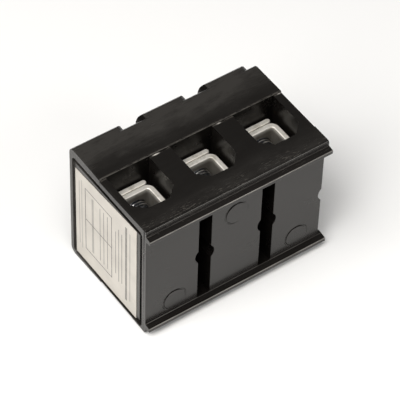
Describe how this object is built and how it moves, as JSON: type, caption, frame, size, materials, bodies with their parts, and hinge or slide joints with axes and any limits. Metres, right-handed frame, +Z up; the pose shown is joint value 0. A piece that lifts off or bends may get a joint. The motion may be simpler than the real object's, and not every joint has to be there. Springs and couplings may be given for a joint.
{
  "type": "terminal block",
  "caption": "Feed-through power terminal block: two-part moulded housing, box lugs on current bars behind side windows, and clamp screws that reach the wires through wells in the cover",
  "frame": {"origin": "bottom centre of the bounding box, on the wire side the block is lying on", "axes": "+X along the row of poles away from the labelled end, +Y from the mounting side to the screw side, +Z up through the wire sides"},
  "size_m": [0.0662, 0.043, 0.047],
  "materials": {
    "base_plastic": "fine-grained black moulded plastic with a soft sheen",
    "cover_plastic": "fine-grained black moulded plastic with worn edges",
    "label_paper": "cream paper label with a ruled box",
    "lug_metal": "plated strip with a dull bright surface and rolled edges",
    "bar_metal": "plated bar",
    "screw_steel": "dark blued steel with bright thread crests"
  },
  "bodies": {
    "housing": {"housing_base": "base_plastic", "housing_cover": "cover_plastic", "end_label": "label_paper", "current_bar_1": "bar_metal", "wire_lug_upper_1": "lug_metal", "wire_lug_lower_1": "lug_metal", "current_bar_2": "bar_metal", "wire_lug_upper_2": "lug_metal", "wire_lug_lower_2": "lug_metal", "current_bar_3": "bar_metal", "wire_lug_upper_3": "lug_metal", "wire_lug_lower_3": "lug_metal"},
    "upper_screw_1": {"clamp_screw_upper_1": "screw_steel"},
    "lower_screw_1": {"clamp_screw_lower_1": "screw_steel"},
    "upper_screw_2": {"clamp_screw_upper_2": "screw_steel"},
    "lower_screw_2": {"clamp_screw_lower_2": "screw_steel"},
    "upper_screw_3": {"clamp_screw_upper_3": "screw_steel"},
    "lower_screw_3": {"clamp_screw_lower_3": "screw_steel"}
  },
  "joints": [
    {"name": "upper_screw_1_travel", "type": "slide", "parent": "housing", "child": "upper_screw_1", "axis": [0, -1, 0], "range_m": [-0.0028, 0.004]},
    {"name": "lower_screw_1_travel", "type": "slide", "parent": "housing", "child": "lower_screw_1", "axis": [0, -1, 0], "range_m": [-0.0028, 0.004]},
    {"name": "upper_screw_2_travel", "type": "slide", "parent": "housing", "child": "upper_screw_2", "axis": [0, -1, 0], "range_m": [-0.0028, 0.004]},
    {"name": "lower_screw_2_travel", "type": "slide", "parent": "housing", "child": "lower_screw_2", "axis": [0, -1, 0], "range_m": [-0.0028, 0.004]},
    {"name": "upper_screw_3_travel", "type": "slide", "parent": "housing", "child": "upper_screw_3", "axis": [0, -1, 0], "range_m": [-0.0028, 0.004]},
    {"name": "lower_screw_3_travel", "type": "slide", "parent": "housing", "child": "lower_screw_3", "axis": [0, -1, 0], "range_m": [-0.0028, 0.004]}
  ]
}
